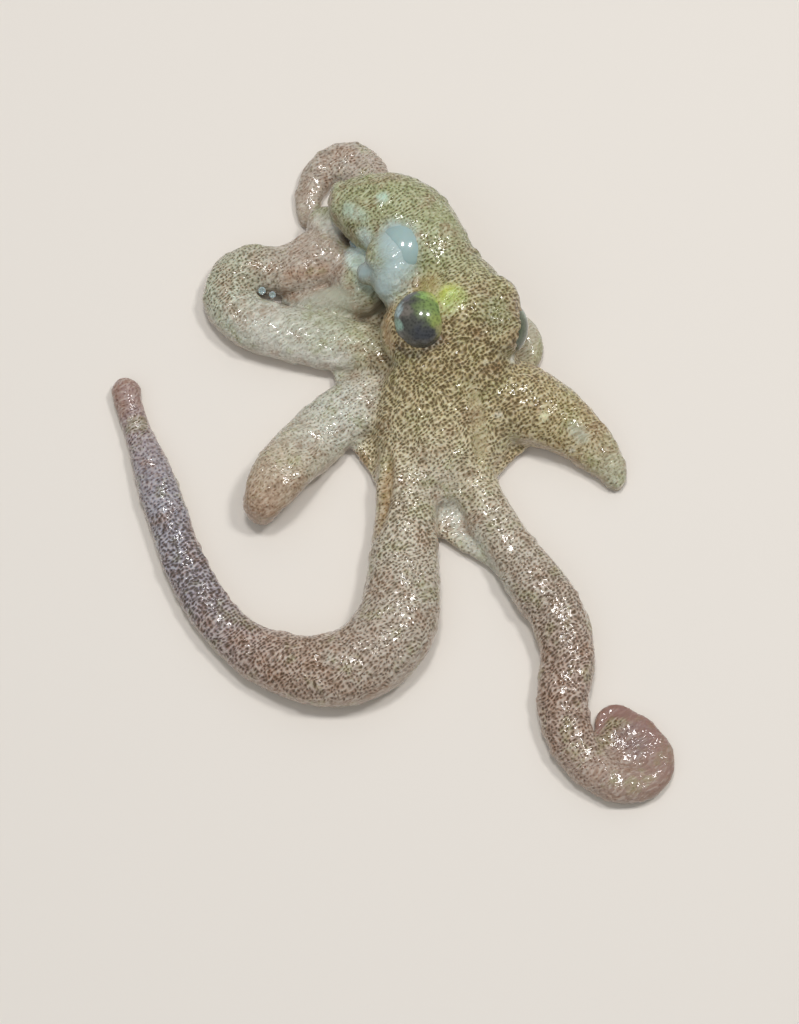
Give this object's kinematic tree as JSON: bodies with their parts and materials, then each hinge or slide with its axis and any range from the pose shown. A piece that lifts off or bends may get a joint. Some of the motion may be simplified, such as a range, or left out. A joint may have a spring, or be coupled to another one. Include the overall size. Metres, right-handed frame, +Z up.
{
  "type": "octopus",
  "caption": "Small young octopus lying flat on its arms, one arm swept round in a wide bend, one ending in a coil, mantle to the back, as a still life-size display model.",
  "frame": {"origin": "on the floor under the closed mouth, where the arms meet", "axes": "+Z up, +Y from the mouth towards the mantle, +X towards the animal's left side"},
  "size_m": [0.0233, 0.0291, 0.0047],
  "materials": {
    "mantle_skin": "wet olive green skin with pale spots",
    "head_skin": "wet tan skin with dense dark brown dots",
    "arm_skin": "wet grey brown skin with dense dark brown dots",
    "eye": "wet dark eye with a green and gold sheen",
    "siphon": "wet translucent blue grey flesh"
  },
  "bodies": {
    "root": {"mantle": "mantle_skin", "head": "head_skin", "crown": "head_skin", "eye_right": "eye", "eye_left": "eye", "siphon": "siphon", "arm_r1_base": "arm_skin", "arm_r1_middle": "arm_skin", "arm_r1_outer": "arm_skin", "arm_r1_tip": "arm_skin", "arm_l1_base": "arm_skin", "arm_l1_middle": "arm_skin", "arm_l1_outer": "arm_skin", "arm_l1_tip": "arm_skin", "arm_r2_base": "arm_skin", "arm_r2_middle": "arm_skin", "arm_r2_tip": "arm_skin", "arm_r3_base": "arm_skin", "arm_r3_middle": "arm_skin", "arm_r3_tip": "arm_skin", "arm_r4_base": "arm_skin", "arm_r4_tip": "arm_skin", "arm_l2_base": "arm_skin", "arm_l2_middle": "arm_skin", "arm_l2_tip": "arm_skin", "arm_l3_base": "arm_skin", "arm_l3_tip": "arm_skin", "arm_l4_tip": "arm_skin"}
  },
  "joints": []
}
